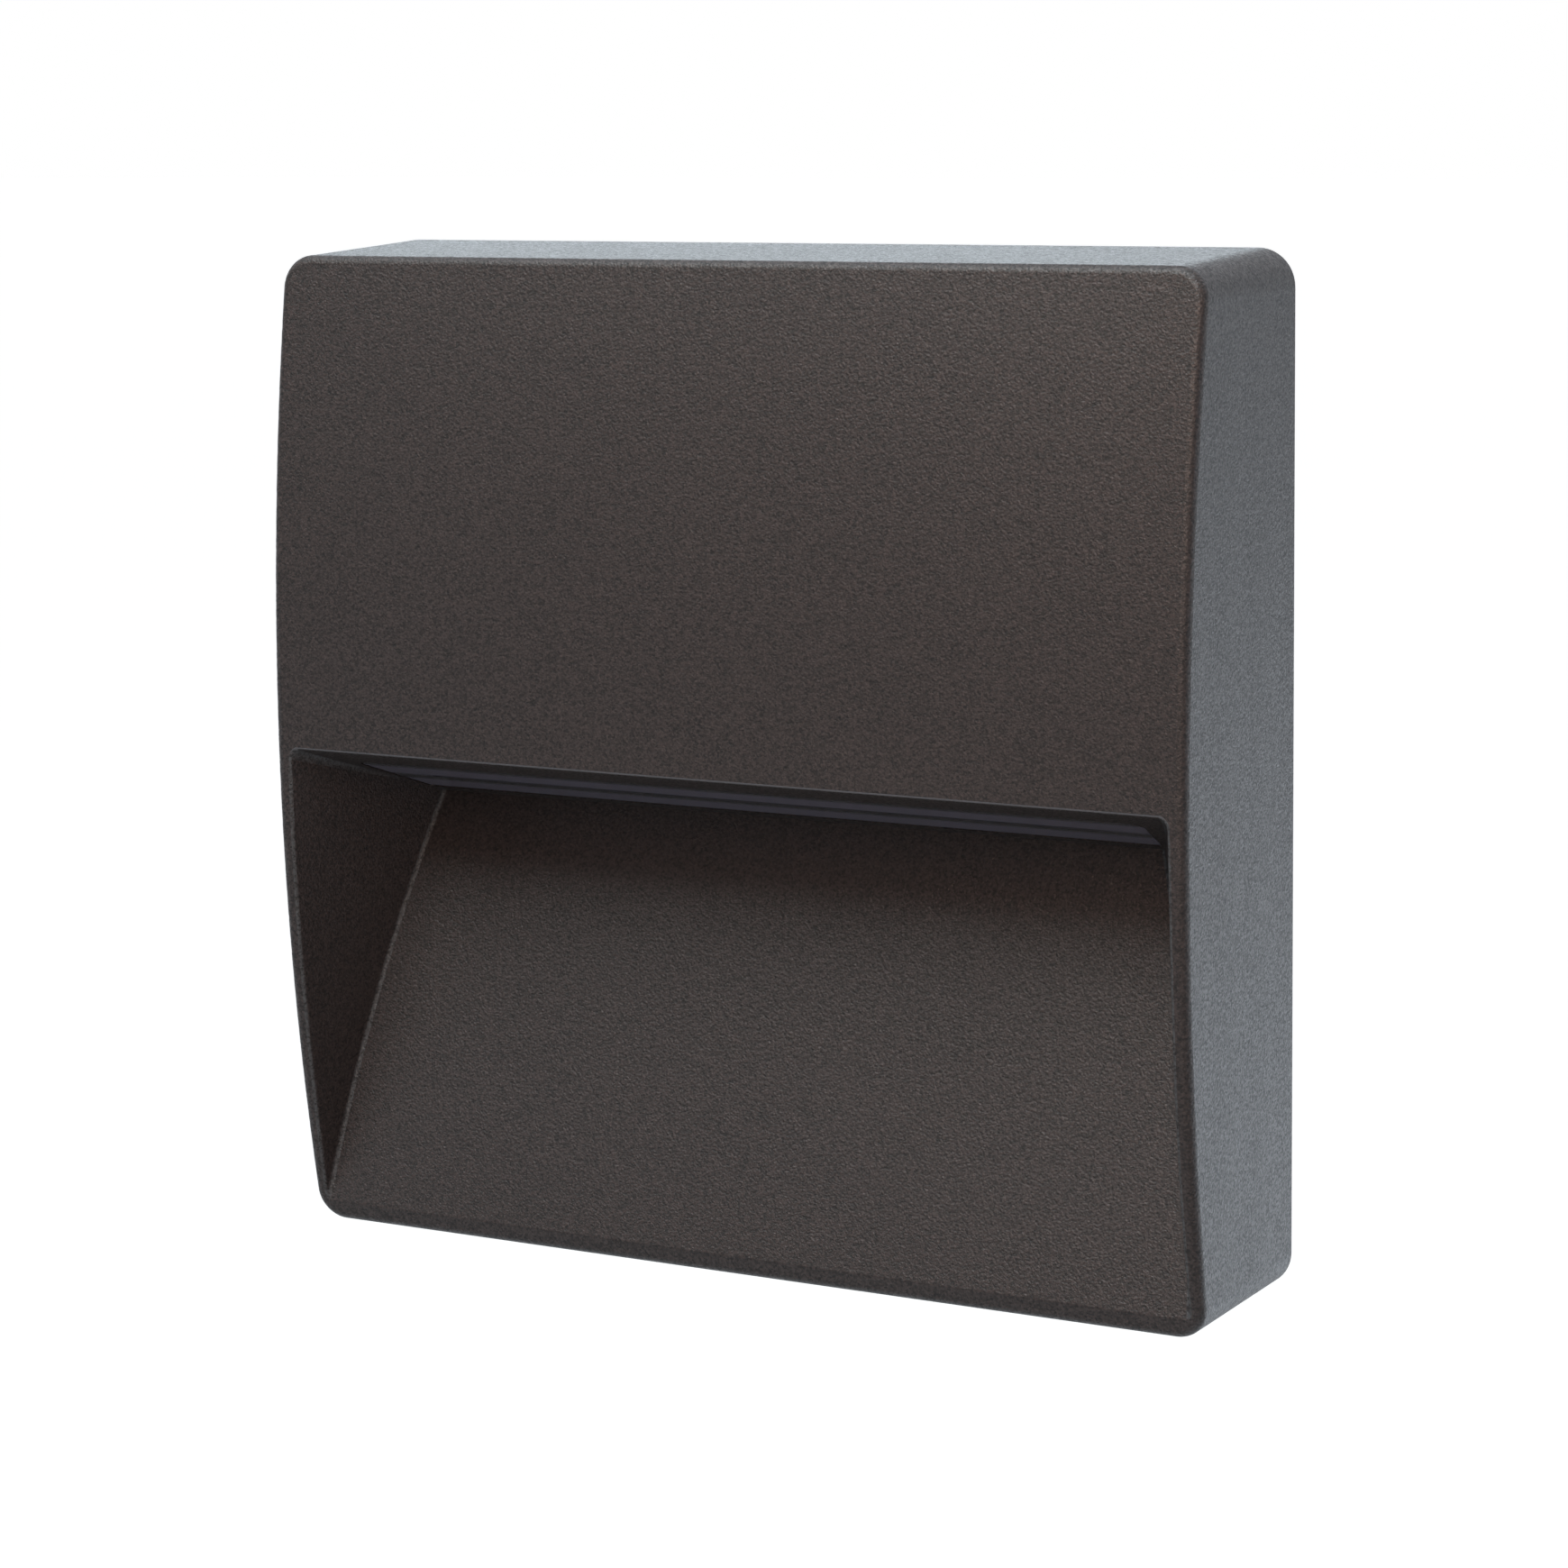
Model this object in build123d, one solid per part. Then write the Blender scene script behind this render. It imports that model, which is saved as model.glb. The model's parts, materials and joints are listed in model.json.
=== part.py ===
from build123d import *
import math
import os

# Square surface-mounted wall light. A die-cast housing with a convex front and a scooped recess slides over
# a wall plate and is locked there by two set screws in its underside. A lens strip in the recess's sloping
# ceiling lets the light out downwards.
#
# Frame: the origin is on the wall, behind the middle of the light. +X is to the right, +Y goes into the wall
# and +Z is up. Sizes are in millimetres, angles in degrees, and depths are measured forwards from the wall.

# Housing outside
WIDTH = 220.0
HEIGHT = 220.0
DEPTH_MIDDLE = 55.0
CROWN_TOP = 11.0
CROWN_BOTTOM = 10.0
WALL_GAP = 0.4
DRAFT = 1.5
CORNER_RADIUS = 8.0
FRONT_EDGE_RADIUS = 2.0
HOUSING_WALL = 3.0

# Recess: lip and ceiling above, leaning back wall, flared side walls
LIP_HEIGHT = 1.3
CEILING_SLOPE = 21.4
RIDGE_ABOVE_BOTTOM = 5.6
BACK_WALL_LEAN = 17.0
SIDE_MARGIN_FRONT_TOP = 3.7
SIDE_MARGIN_FRONT_BOTTOM = 3.0
SIDE_MARGIN_REAR_TOP = 25.0
SIDE_MARGIN_REAR_BOTTOM = 7.0
RECESS_FRONT_STANDOFF = 3.4
RECESS_REAR_STANDOFF = 2.8
RECESS_CORNER = 2.6
RECESS_OVERSHOOT = 3.0
CREASE_RADIUS = 1.0
LIP_EDGE_RADIUS = 0.8
TRAY_WALL = 3.0
TRAY_SIDE_MERGE = 6.0

# Lens stack on the ceiling, measured along the slope from the lip and square to the ceiling
LENS_FRONT = 10.0
LENS_REAR_MARGIN = 4.0
LENS_END_MARGIN_FRONT = 5.5
LENS_END_MARGIN_REAR = 0.5
LENS_CORNER_FRONT = 4.0
LENS_CORNER_REAR = 1.0
LENS_CLEARANCE = 0.3
LENS_SETBACK = 0.2
LENS_SEAT_EDGE = 0.8
LENS_SEAT_DEPTH = 9.0
LENS_FLANGE_WIDTH = 2.2
LENS_FLANGE_THICKNESS = 2.0
LENS_GROOVE_WIDTH = 1.6
LENS_GROOVE_DEPTH = 0.6
LENS_GROOVE_END = 8.0
LENS_GASKET_THICKNESS = 1.0
REFLECTOR_HEIGHT = 4.0
REFLECTOR_SIDE_TAPER = 6.0
REFLECTOR_END_TAPER = 2.0
BOARD_THICKNESS = 1.6
BOARD_SIDE_MARGIN = 1.2
BOARD_END_OVERLAP = 2.0
LED_PITCH = 7.0
LED_SIZE = 3.0
LED_HEIGHT = 0.7
THERMAL_PAD_THICKNESS = 0.4
SPREADER_THICKNESS = 2.5
SPREADER_EDGE = 2.6
SPREADER_REAR_EDGE = 1.0
SPREADER_END_WIDTH = 12.0
SPREADER_BOSS_GAP = 0.3
SPREADER_BOSS_RADIUS = 3.2
SPREADER_FRONT_SCREW_SPACING = 60.0
CONNECTOR_END_GAP = 4.5
CONNECTOR_LENGTH = 9.0
CONNECTOR_WIDTH = 6.0
CONNECTOR_HEIGHT = 6.0
CONNECTOR_WINDOW_MARGIN = 1.5
CONNECTOR_FLOOR = 1.6

# Wall plate and the seat of the housing on it
PLATE_THICKNESS = 3.0
PLATE_EDGE_CLEARANCE = 0.7
FLANGE_INSET = 6.0
FLANGE_THICKNESS = 2.5
FLANGE_DEPTH = 14.0
FLANGE_CORNER = 4.0
LEDGE_CLEARANCE = 0.4
LEDGE_THICKNESS = 3.0
SEAL_THICKNESS = 3.0
SEAL_CLEARANCE = 0.1
SEAL_SIDE_CLEARANCE = 0.2
FIXING_INSET_X = 26.0
FIXING_INSET_Z = 26.0
FIXING_SLOT_WIDTH = 5.5
FIXING_SLOT_LENGTH = 10.0

# Lock screws in the underside
LOCK_SCREW_INSET = 21.0
LOCK_SCREW_DEPTH = 10.5
LOCK_SCREW_RADIUS = 2.5
LOCK_SCREW_CLEARANCE = 0.25
LOCK_SCREW_TIP_GAP = 0.1
LOCK_SCREW_SINK = 0.5
LOCK_SCREW_SOCKET = 2.5
LOCK_SCREW_SOCKET_DEPTH = 3.0
LOCK_SCREW_TIP_CHAMFER = 0.6
LOCK_BOSS_WIDTH = 14.0
LOCK_BOSS_DEPTH = 10.0
LOCK_BOSS_CLEARANCE = 0.6

# Cable entry and strain relief on the wall plate
GROMMET_BORE_RADIUS = 5.0
GROMMET_WAIST_RADIUS = 9.0
GROMMET_LIP_RADIUS = 12.0
GROMMET_LIP_THICKNESS = 4.0
CLAMP_GROMMET_GAP = 2.5
CLAMP_TERMINAL_GAP = 4.0
CLAMP_POST_SPACING = 20.0
CLAMP_POST_RADIUS = 3.5
CLAMP_POST_HEIGHT = 6.0
CLAMP_THICKNESS = 6.5
CLAMP_WIDTH = 9.0
CLAMP_CORNER = 2.5
CLAMP_CABLE_RADIUS = 5.0

# Electrics inside the housing, on bosses that stand on the inside of its front
BOSS_END_DEPTH = 34.0
BOSS_RADIUS = 4.0
DRIVER_SIDE_GAP = 19.0
DRIVER_TOP_GAP = 20.0
DRIVER_LENGTH = 90.0
DRIVER_HEIGHT = 38.0
DRIVER_DEPTH = 22.0
DRIVER_EDGE_RADIUS = 2.5
DRIVER_EAR_LENGTH = 10.0
DRIVER_EAR_WIDTH = 12.0
DRIVER_EAR_THICKNESS = 3.0
DRIVER_EAR_HOLE_INSET = 5.0
TERMINAL_SIDE_GAP = 21.0
TERMINAL_TOP_GAP = 18.5
TERMINAL_POLES = 3
TERMINAL_PITCH = 11.0
TERMINAL_WIDTH = 22.0
TERMINAL_DEPTH = 18.0
TERMINAL_EDGE_RADIUS = 1.0
TERMINAL_SCREW_SPACING = 11.0
INSERT_LENGTH = 18.0
INSERT_SIZE = 6.0
INSERT_CLEARANCE = 0.1
INSERT_BORE_RADIUS = 1.3
INSERT_SEAT = 7.0
TERMINAL_ENTRY_RADIUS = 1.6
TERMINAL_SCREW_RADIUS = 1.5
TERMINAL_SCREW_HEAD_RADIUS = 1.9
TERMINAL_SCREW_HEAD_CLEARANCE = 0.2
TERMINAL_SCREW_HEAD_SINK = 0.6
TERMINAL_SCREW_HEAD_HEIGHT = 2.0
EARTH_BOSS_RADIUS = 5.0
EARTH_TERMINAL_GAP = 10.0
EARTH_DRIVER_GAP = 4.0
EARTH_LUG_RADIUS = 5.0
EARTH_LUG_THICKNESS = 1.0
EARTH_BARREL_RADIUS = 2.2
EARTH_BARREL_LENGTH = 7.0
EARTH_NECK = 1.0
WIRE_RADIUS = 1.0
WIRE_CLEARANCE = 0.1
WIRE_BEND_RADIUS = 3.0
WIRE_TIGHT_BEND_RADIUS = 2.0
WIRE_GRIP = 6.0
LIVE_WIRE_RISE = 6.0
NEUTRAL_WIRE_DROP = 4.0
LED_WIRE_RISE = 12.0
LED_WIRE_SPREAD = 10.0
LED_WIRE_WALL_GAP = 13.0
LED_WIRE_SPACING = 5.0

# Small screws: M3 for the electrics and the spreader, M4 for the earth
SMALL_SCREW_RADIUS = 1.5
SMALL_SCREW_HEAD_RADIUS = 2.75
SMALL_SCREW_HEAD_HEIGHT = 2.0
SMALL_SCREW_GRIP = 6.0
EARTH_SCREW_RADIUS = 2.0
EARTH_SCREW_HEAD_RADIUS = 3.5
SCREW_HOLE_CLEARANCE = 0.2

# Values worked out from the sizes above
HALF_WIDTH = WIDTH / 2
HALF_HEIGHT = HEIGHT / 2
DEPTH_TOP = DEPTH_MIDDLE - CROWN_TOP
DEPTH_BOTTOM = DEPTH_MIDDLE - CROWN_BOTTOM
INNER_HALF_WIDTH = HALF_WIDTH - HOUSING_WALL
INNER_HALF_HEIGHT = HALF_HEIGHT - HOUSING_WALL
INNER_CORNER = CORNER_RADIUS - HOUSING_WALL
FLANGE_HALF_WIDTH = INNER_HALF_WIDTH - FLANGE_INSET
FLANGE_HALF_HEIGHT = INNER_HALF_HEIGHT - FLANGE_INSET
LEDGE_DEPTH = PLATE_THICKNESS + SEAL_THICKNESS + SEAL_CLEARANCE
LOCK_SCREW_X = FLANGE_HALF_WIDTH - LOCK_SCREW_INSET
SLOPE_SINE = math.sin(math.radians(CEILING_SLOPE))
SLOPE_COSINE = math.cos(math.radians(CEILING_SLOPE))
SLOPE_TANGENT = math.tan(math.radians(CEILING_SLOPE))
LEAN_TANGENT = math.tan(math.radians(BACK_WALL_LEAN))
LEAN_COSINE = math.cos(math.radians(BACK_WALL_LEAN))
CEILING = Plane(origin=(0, -DEPTH_MIDDLE, LIP_HEIGHT), x_dir=(1, 0, 0), z_dir=(0, SLOPE_SINE, SLOPE_COSINE))
FAR = 2 * max(WIDTH, HEIGHT)
OVERLAP = 1.0

# The convex front is an arc through its top, middle and bottom, seen here as depth against height
FRONT_ARC = ThreePointArc(
    (DEPTH_TOP, HALF_HEIGHT), (DEPTH_MIDDLE, 0), (DEPTH_BOTTOM, -HALF_HEIGHT)
)
RIDGE_HEIGHT = RIDGE_ABOVE_BOTTOM - HALF_HEIGHT
RIDGE_DEPTH = FRONT_ARC.arc_center.X + math.sqrt(
    FRONT_ARC.radius**2 - (RIDGE_HEIGHT - FRONT_ARC.arc_center.Y) ** 2
)

# Where the ceiling meets the back wall, and the depths between which the recess is lofted
CEILING_LENGTH = (DEPTH_MIDDLE - RIDGE_DEPTH + (LIP_HEIGHT - RIDGE_HEIGHT) * LEAN_TANGENT) / (
    SLOPE_COSINE + SLOPE_SINE * LEAN_TANGENT
)
RECESS_FRONT_DEPTH = DEPTH_MIDDLE + RECESS_FRONT_STANDOFF
RECESS_REAR_DEPTH = DEPTH_MIDDLE - CEILING_LENGTH * SLOPE_COSINE - RECESS_REAR_STANDOFF

# Heights of the lens stack above the ceiling's visible face
GASKET_BASE = TRAY_WALL
LENS_FLANGE_BASE = GASKET_BASE + LENS_GASKET_THICKNESS
REFLECTOR_BASE = LENS_FLANGE_BASE + LENS_FLANGE_THICKNESS
BOARD_BASE = REFLECTOR_BASE + REFLECTOR_HEIGHT
PAD_BASE = BOARD_BASE + BOARD_THICKNESS
SPREADER_BASE = PAD_BASE + THERMAL_PAD_THICKNESS
SPREADER_TOP = SPREADER_BASE + SPREADER_THICKNESS
CONNECTOR_TOP = PAD_BASE + CONNECTOR_HEIGHT

# Places of the electrics
DRIVER_X = -INNER_HALF_WIDTH + DRIVER_SIDE_GAP + DRIVER_EAR_LENGTH + DRIVER_LENGTH / 2
DRIVER_Z = INNER_HALF_HEIGHT - DRIVER_TOP_GAP - DRIVER_HEIGHT / 2
DRIVER_LEFT = DRIVER_X - DRIVER_LENGTH / 2
DRIVER_RIGHT = DRIVER_X + DRIVER_LENGTH / 2
TERMINAL_HALF_HEIGHT = TERMINAL_POLES * TERMINAL_PITCH / 2
TERMINAL_X = INNER_HALF_WIDTH - TERMINAL_SIDE_GAP - TERMINAL_WIDTH / 2
TERMINAL_Z = INNER_HALF_HEIGHT - TERMINAL_TOP_GAP - TERMINAL_HALF_HEIGHT
TERMINAL_LEFT = TERMINAL_X - TERMINAL_WIDTH / 2
TERMINAL_RIGHT = TERMINAL_X + TERMINAL_WIDTH / 2
INSERT_DEPTH = BOSS_END_DEPTH - INSERT_SEAT
EARTH_X = TERMINAL_LEFT - EARTH_TERMINAL_GAP
EARTH_BARREL_TOP = DRIVER_Z - DRIVER_HEIGHT / 2 - EARTH_DRIVER_GAP
EARTH_BARREL_BASE = EARTH_BARREL_TOP - EARTH_BARREL_LENGTH
EARTH_BARREL_DEPTH = BOSS_END_DEPTH - EARTH_BARREL_RADIUS
EARTH_Z = EARTH_BARREL_BASE - EARTH_NECK - EARTH_LUG_RADIUS

# The supply cable comes in below the terminal block and is clamped on its way up
ENTRY_X = TERMINAL_X
CLAMP_Z = TERMINAL_Z - TERMINAL_HALF_HEIGHT - CLAMP_TERMINAL_GAP - CLAMP_WIDTH / 2
ENTRY_Z = CLAMP_Z - CLAMP_WIDTH / 2 - CLAMP_GROMMET_GAP - GROMMET_LIP_RADIUS


def block(x_range, y_range, z_range):
    """A box between two values on each axis."""
    size = [high - low for low, high in (x_range, y_range, z_range)]
    middle = [(low + high) / 2 for low, high in (x_range, y_range, z_range)]
    return Pos(*middle) * Box(*size)


def rod_along_y(x, z, radius, rear_depth, front_depth):
    """A round bar square to the wall, between two depths."""
    plane = Plane.XZ.offset(rear_depth)
    return extrude(plane * Pos(x, z) * Circle(radius), front_depth - rear_depth)


def rod_on_slope(x, along, radius, base, top):
    """A round bar square to the ceiling, between two heights above it."""
    return extrude(CEILING.offset(base) * Pos(x, along) * Circle(radius), top - base)


def ring_prism(half_width, half_height, corner, rear_depth, front_depth, taper=0.0):
    """A solid rounded rectangle between two depths, narrowing forwards by the taper."""
    outline = Plane.XZ.offset(rear_depth) * RectangleRounded(2 * half_width, 2 * half_height, corner)
    return extrude(outline, front_depth - rear_depth, taper=taper)


def inner_prism(grow, rear_depth, front_depth, taper=0.0):
    """A prism to the outline of the housing's inside, grown or shrunk all round."""
    half_width = INNER_HALF_WIDTH + grow
    half_height = INNER_HALF_HEIGHT + grow
    return ring_prism(half_width, half_height, INNER_CORNER + grow, rear_depth, front_depth, taper)


def flange_prism(grow, rear_depth, front_depth):
    """A prism to the outline of the wall plate's flange, grown or shrunk all round."""
    half_width = FLANGE_HALF_WIDTH + grow
    half_height = FLANGE_HALF_HEIGHT + grow
    return ring_prism(half_width, half_height, FLANGE_CORNER + grow, rear_depth, front_depth)


def front_limit(inset):
    """Everything behind the convex front, moved back by the inset."""
    top = (-DEPTH_TOP + inset, HALF_HEIGHT)
    middle = (-DEPTH_MIDDLE + inset, 0)
    bottom = (-DEPTH_BOTTOM + inset, -HALF_HEIGHT)
    behind = HOUSING_WALL
    profile = Plane.YZ * make_face(
        ThreePointArc(top, middle, bottom)
        + Polyline(bottom, (behind, -HALF_HEIGHT), (behind, HALF_HEIGHT), top)
    )
    return extrude(profile, FAR, both=True)


def recess_top(depth):
    """Height of the ceiling's visible face at a depth."""
    return LIP_HEIGHT - (DEPTH_MIDDLE - depth) * SLOPE_TANGENT


def recess_overshoot(depth):
    """How far the side walls run up past the ceiling at a depth, so that their creases end at it."""
    meeting_depth = DEPTH_MIDDLE + OVERLAP
    return RECESS_OVERSHOOT * (meeting_depth - depth) / (meeting_depth - RECESS_REAR_DEPTH)


def recess_half_width(height, margin_top, margin_bottom):
    """Half the recess's width at a height, from its margins at half height and at the foot."""
    slant = (margin_top - margin_bottom) / HALF_HEIGHT
    return HALF_WIDTH - margin_top - slant * height


def recess_outline(depth, top, margin_top, margin_bottom, corner):
    """Outline of the recess at one depth: open below, narrower above, with rounded top corners."""
    low = -HEIGHT
    half_top = recess_half_width(top, margin_top, margin_bottom)
    half_low = recess_half_width(low, margin_top, margin_bottom)
    corners = [(-half_low, low), (half_low, low), (half_top, top), (-half_top, top)]
    face = make_face(Polyline(*corners, close=True))
    rounded = fillet(face.vertices().sort_by(Axis.Y)[-2:], corner)
    return Plane.XZ.offset(depth) * rounded


def recess_form(wall=0.0, side_merge=0.0):
    """The scooped recess, or with a wall given, the same form with that wall around it."""
    rise = wall / SLOPE_COSINE
    rear_depth = RECESS_REAR_DEPTH - wall
    front = recess_outline(
        RECESS_FRONT_DEPTH,
        recess_top(RECESS_FRONT_DEPTH) + rise + recess_overshoot(RECESS_FRONT_DEPTH),
        SIDE_MARGIN_FRONT_TOP - side_merge,
        SIDE_MARGIN_FRONT_BOTTOM - side_merge,
        RECESS_CORNER + wall,
    )
    rear = recess_outline(
        rear_depth,
        recess_top(rear_depth) + rise + recess_overshoot(rear_depth),
        SIDE_MARGIN_REAR_TOP - wall,
        SIDE_MARGIN_REAR_BOTTOM - wall,
        RECESS_CORNER + wall,
    )
    ridge_depth = RIDGE_DEPTH - wall / LEAN_COSINE

    def back_wall_y(height):
        return -ridge_depth + (height - RIDGE_HEIGHT) * LEAN_TANGENT

    high, low, forward = HALF_HEIGHT, -2 * HEIGHT, -FAR
    in_front = Polyline(
        (back_wall_y(high), high), (back_wall_y(low), low), (forward, low), (forward, high), close=True
    )
    before_back_wall = extrude(Plane.YZ * make_face(in_front), FAR, both=True)
    form = loft([front, rear], ruled=True) & before_back_wall
    back_wall = form.faces().filter_by(Axis((0, 0, 0), (0, 1, -LEAN_TANGENT)))[0]
    creases = back_wall.edges().sort_by(Axis.Z)[1:]
    form = fillet(creases, CREASE_RADIUS + wall)
    return split(form, bisect_by=CEILING.offset(wall), keep=Keep.BOTTOM)


def ceiling_half_width(along):
    """Half the ceiling's width, between the side walls, at a distance along the slope."""
    depth = DEPTH_MIDDLE - along * SLOPE_COSINE
    front = recess_half_width(recess_top(RECESS_FRONT_DEPTH), SIDE_MARGIN_FRONT_TOP, SIDE_MARGIN_FRONT_BOTTOM)
    rear = recess_half_width(recess_top(RECESS_REAR_DEPTH), SIDE_MARGIN_REAR_TOP, SIDE_MARGIN_REAR_BOTTOM)
    share = (RECESS_FRONT_DEPTH - depth) / (RECESS_FRONT_DEPTH - RECESS_REAR_DEPTH)
    return front + share * (rear - front)


# The lens window in the ceiling, and what is centred on it
LENS_REAR = CEILING_LENGTH - LENS_REAR_MARGIN
LENS_MIDDLE = (LENS_FRONT + LENS_REAR) / 2
LENS_HALF_FRONT = ceiling_half_width(LENS_FRONT) - LENS_END_MARGIN_FRONT
LENS_HALF_REAR = ceiling_half_width(LENS_REAR) - LENS_END_MARGIN_REAR
LENS_HALF_MIDDLE = (LENS_HALF_FRONT + LENS_HALF_REAR) / 2
BOARD_HALF_LENGTH = LENS_HALF_REAR + BOARD_END_OVERLAP
CONNECTOR_X = -BOARD_HALF_LENGTH + CONNECTOR_END_GAP + CONNECTOR_LENGTH / 2
REFLECTOR_SLOT_HALF_LENGTH = LENS_HALF_REAR - REFLECTOR_END_TAPER
LED_COUNT = int((2 * REFLECTOR_SLOT_HALF_LENGTH - LED_SIZE) / LED_PITCH)
SPREADER_FRONT_SCREW_ALONG = LENS_FRONT - LENS_FLANGE_WIDTH - SPREADER_BOSS_GAP - SPREADER_BOSS_RADIUS
SPREADER_END_SCREW_X = LENS_HALF_MIDDLE + LENS_FLANGE_WIDTH + SPREADER_BOSS_GAP + SPREADER_BOSS_RADIUS


def slope_outline(grow):
    """The lens window's outline in the ceiling plane, grown or shrunk all round."""
    front, rear = LENS_FRONT - grow, LENS_REAR + grow
    corners = [
        (-LENS_HALF_FRONT - grow, front),
        (LENS_HALF_FRONT + grow, front),
        (LENS_HALF_REAR + grow, rear),
        (-LENS_HALF_REAR - grow, rear),
    ]
    face = make_face(Polyline(*corners, close=True))
    face = fillet(face.vertices().sort_by(Axis.Y)[:2], LENS_CORNER_FRONT + grow)
    return fillet(face.vertices().sort_by(Axis.Y)[-2:], LENS_CORNER_REAR + grow)


def on_slope(face, base, top):
    """A flat outline raised from the ceiling plane between two heights."""
    return extrude(CEILING.offset(base) * face, top - base)


def spreader_screw_places():
    """Where the heat spreader's screws stand on the ceiling plane: along its front and at its ends."""
    fronts = [(step * SPREADER_FRONT_SCREW_SPACING, SPREADER_FRONT_SCREW_ALONG) for step in (-1, 0, 1)]
    ends = [(side * SPREADER_END_SCREW_X, LENS_MIDDLE) for side in (-1, 1)]
    return fronts + ends


def driver_ear_places():
    reach = DRIVER_LENGTH / 2 + DRIVER_EAR_HOLE_INSET
    return [(DRIVER_X - reach, DRIVER_Z), (DRIVER_X + reach, DRIVER_Z)]


def terminal_pole_heights():
    middle = (TERMINAL_POLES - 1) / 2
    return [TERMINAL_Z + (pole - middle) * TERMINAL_PITCH for pole in range(TERMINAL_POLES)]


def terminal_fixing_places():
    heights = terminal_pole_heights()
    return [(TERMINAL_X, (low + high) / 2) for low, high in zip(heights, heights[1:])]


def terminal_screw_places():
    offsets = (-TERMINAL_SCREW_SPACING / 2, TERMINAL_SCREW_SPACING / 2)
    return [(TERMINAL_X + offset, height) for height in terminal_pole_heights() for offset in offsets]


def clamp_post_places():
    return [(ENTRY_X + side * CLAMP_POST_SPACING / 2, CLAMP_Z) for side in (-1, 1)]


def housing_bosses():
    """Bosses for the electrics on the inside of the front, and for the heat spreader on the ceiling."""
    places = [(x, z, BOSS_RADIUS) for x, z in driver_ear_places() + terminal_fixing_places()]
    places.append((EARTH_X, EARTH_Z, EARTH_BOSS_RADIUS))
    inside_front = front_limit(HOUSING_WALL / 2)
    bosses = []
    for x, z, radius in places:
        bosses.append(rod_along_y(x, z, radius, BOSS_END_DEPTH, DEPTH_MIDDLE) & inside_front)
    for x, along in spreader_screw_places():
        boss = rod_on_slope(x, along, SPREADER_BOSS_RADIUS, -LENS_SEAT_DEPTH, SPREADER_BASE)
        bosses.append(boss & inside_front)
    return bosses


def housing_ledge():
    """The ledge that presses on the perimeter gasket, and the blocks for the lock screws."""
    ledge = inner_prism(OVERLAP, LEDGE_DEPTH, LEDGE_DEPTH + LEDGE_THICKNESS)
    ledge -= flange_prism(LEDGE_CLEARANCE, 0, DEPTH_MIDDLE)
    for x in (-LOCK_SCREW_X, LOCK_SCREW_X):
        ledge += block(
            (x - LOCK_BOSS_WIDTH / 2, x + LOCK_BOSS_WIDTH / 2),
            (-LEDGE_DEPTH - LOCK_BOSS_DEPTH, -LEDGE_DEPTH),
            (-INNER_HALF_HEIGHT - OVERLAP, -FLANGE_HALF_HEIGHT - LOCK_BOSS_CLEARANCE),
        )
    return ledge


def front_housing():
    reach = DEPTH_MIDDLE + OVERLAP
    outer = ring_prism(HALF_WIDTH, HALF_HEIGHT, CORNER_RADIUS, WALL_GAP, reach, DRAFT) & front_limit(0)
    outer = fillet(outer.faces().sort_by(Axis.Y)[0].edges(), FRONT_EDGE_RADIUS)
    cavity = inner_prism(0, WALL_GAP, reach, DRAFT) & front_limit(HOUSING_WALL)
    cavity -= recess_form(TRAY_WALL, TRAY_SIDE_MERGE)

    shell = outer - cavity + housing_bosses() + housing_ledge()
    shell += on_slope(slope_outline(LENS_FLANGE_WIDTH + LENS_SEAT_EDGE), -LENS_SEAT_DEPTH, TRAY_WALL)
    shell -= recess_form()
    opening = shell.faces().sort_by(Axis.Y)[0].inner_wires()[0]
    shell = fillet(opening.edges(), LIP_EDGE_RADIUS)
    shell -= on_slope(slope_outline(0), -LENS_SEAT_DEPTH, TRAY_WALL + OVERLAP)

    for x, along in spreader_screw_places():
        shell -= rod_on_slope(x, along, SMALL_SCREW_RADIUS, SPREADER_BASE - SMALL_SCREW_GRIP, SPREADER_BASE)
    screw_end = BOSS_END_DEPTH + SMALL_SCREW_GRIP
    for x, z in driver_ear_places() + terminal_fixing_places():
        shell -= rod_along_y(x, z, SMALL_SCREW_RADIUS, BOSS_END_DEPTH, screw_end)
    shell -= rod_along_y(EARTH_X, EARTH_Z, EARTH_SCREW_RADIUS, BOSS_END_DEPTH, screw_end)
    for x in (-LOCK_SCREW_X, LOCK_SCREW_X):
        hole = Plane.XY.offset(-FLANGE_HALF_HEIGHT) * Pos(x, -LOCK_SCREW_DEPTH)
        shell -= extrude(hole * Circle(LOCK_SCREW_RADIUS + LOCK_SCREW_CLEARANCE), -HALF_HEIGHT)
    return shell


def lens():
    tongue = on_slope(slope_outline(-LENS_CLEARANCE), LENS_SETBACK, LENS_FLANGE_BASE)
    flange = on_slope(slope_outline(LENS_FLANGE_WIDTH), LENS_FLANGE_BASE, REFLECTOR_BASE)
    groove = Pos(0, LENS_MIDDLE) * Rectangle(2 * (LENS_HALF_REAR - LENS_GROOVE_END), LENS_GROOVE_WIDTH)
    return tongue + flange - on_slope(groove, 0, LENS_SETBACK + LENS_GROOVE_DEPTH)


def lens_gasket():
    outside = on_slope(slope_outline(LENS_FLANGE_WIDTH), GASKET_BASE, LENS_FLANGE_BASE)
    return outside - on_slope(slope_outline(0), GASKET_BASE, LENS_FLANGE_BASE)


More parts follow.
